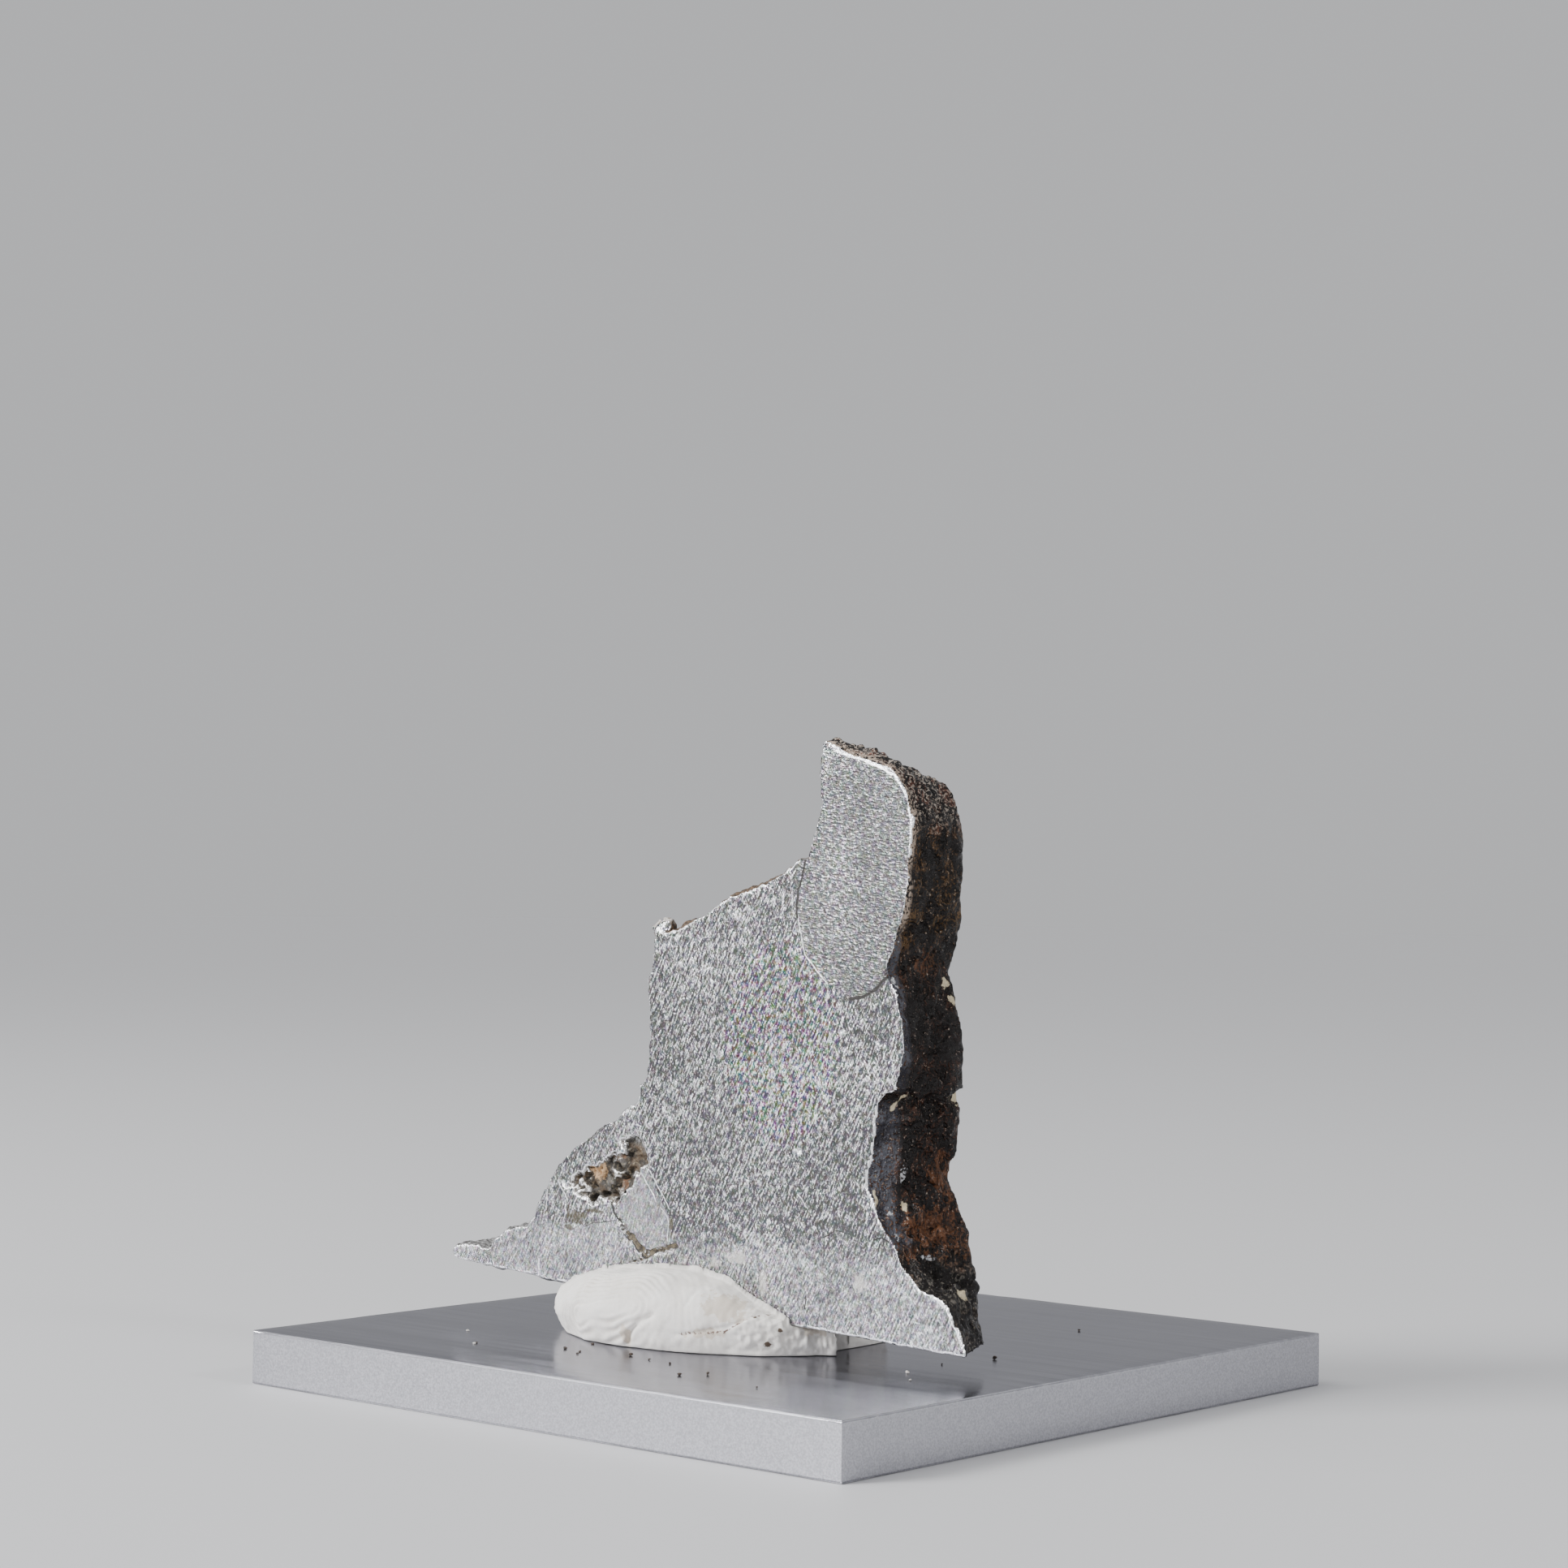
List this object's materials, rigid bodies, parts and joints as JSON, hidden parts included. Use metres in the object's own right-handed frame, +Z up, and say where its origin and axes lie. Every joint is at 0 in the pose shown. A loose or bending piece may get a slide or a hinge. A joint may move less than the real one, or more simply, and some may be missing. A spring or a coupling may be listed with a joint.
{
  "type": "iron meteorite slice on a display plate",
  "caption": "Thick sawn slice of iron meteorite with bright ground faces and dark crust, pressed upright into white putty on a square aluminium plate.",
  "frame": {"origin": "centre of the plate's underside, on the surface that it lies on", "axes": "+Z up, +X along the plate's front edge and nearly along the slice, -Y towards the viewer of the slice's front cut"},
  "size_m": [0.05, 0.05, 0.0422],
  "materials": {
    "meteorite_iron": "coarse ground bright iron on the cut faces, glossy brown-black crust on the natural sides",
    "putty": "matt cream-white putty with finger marks",
    "plate_aluminium": "brushed along X, with hand-rounded edges"
  },
  "bodies": {
    "root": {"meteorite_slice": "meteorite_iron", "putty": "putty", "display_plate": "plate_aluminium"}
  },
  "joints": []
}
